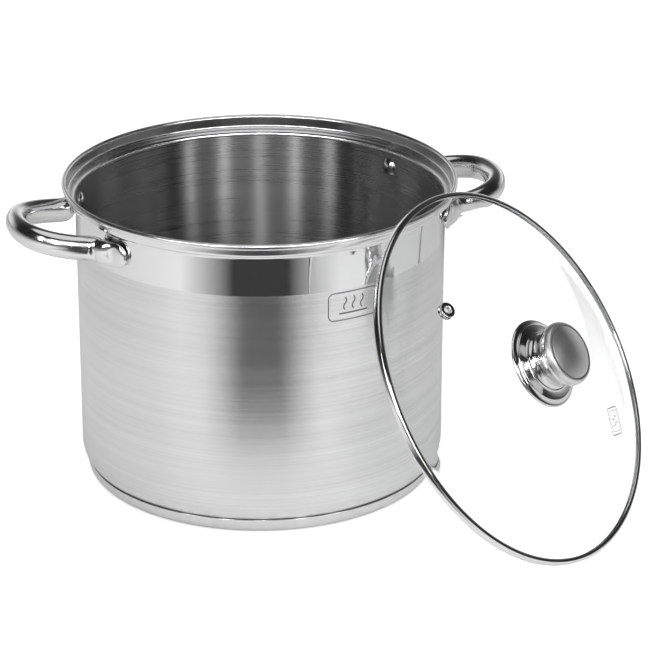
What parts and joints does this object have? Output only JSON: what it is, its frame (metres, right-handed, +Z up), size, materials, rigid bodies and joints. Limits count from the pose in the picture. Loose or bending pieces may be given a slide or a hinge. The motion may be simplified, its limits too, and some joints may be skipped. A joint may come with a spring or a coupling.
{
  "type": "water bath canner",
  "caption": "Tall stainless steel water bath canner with tubular loop handles, a flat jar rack inside and a domed glass lid leaning against its rim.",
  "frame": {"origin": "centre of the underside of the pot's base", "axes": "+Z up along the pot's axis, +X towards the right handle; the lid leans on the rim on the -Y, +X side"},
  "size_m": [0.4273, 0.4051, 0.2288],
  "materials": {
    "steel_satin": "satin brushed",
    "steel_polished": "mirror polished stainless",
    "aluminium_core": "rolled",
    "clear_glass": "clear tempered",
    "silicone": "matt translucent",
    "black_resin": "moulded"
  },
  "bodies": {
    "pot": {"pot_shell": "steel_satin", "base_cap": "steel_satin", "base_core": "aluminium_core", "handle_left": "steel_polished", "handle_right": "steel_polished", "ear_left_back": "steel_polished", "ear_left_front": "steel_polished", "ear_right_back": "steel_polished", "ear_right_front": "steel_polished", "rivet_left_back": "steel_polished", "rivet_left_front": "steel_polished", "rivet_right_back": "steel_polished", "rivet_right_front": "steel_polished"},
    "lid": {"lid_glass": "clear_glass", "lid_band": "steel_polished", "vent_eyelet": "steel_polished", "vent_collar": "steel_polished", "knob_base": "steel_polished", "knob_gasket": "silicone", "under_washer": "steel_satin", "knob_screw": "steel_satin"},
    "knob": {"knob_shell": "steel_polished", "knob_top_cap": "steel_satin", "knob_insert": "black_resin"},
    "rack": {"jar_rack": "steel_satin"}
  },
  "joints": [
    {"name": "lid_lift", "type": "slide", "parent": "pot", "child": "lid", "axis": [0, 0, 1], "range_m": [0, 0.25]},
    {"name": "knob_turn", "type": "hinge", "parent": "lid", "child": "knob", "pos_m": [0.13007, -0.16322, 0.11456], "axis": [0.5251, -0.659, 0.5385], "continuous": true},
    {"name": "rack_lift", "type": "slide", "parent": "pot", "child": "rack", "axis": [0, 0, 1], "range_m": [0, 0.24]}
  ]
}
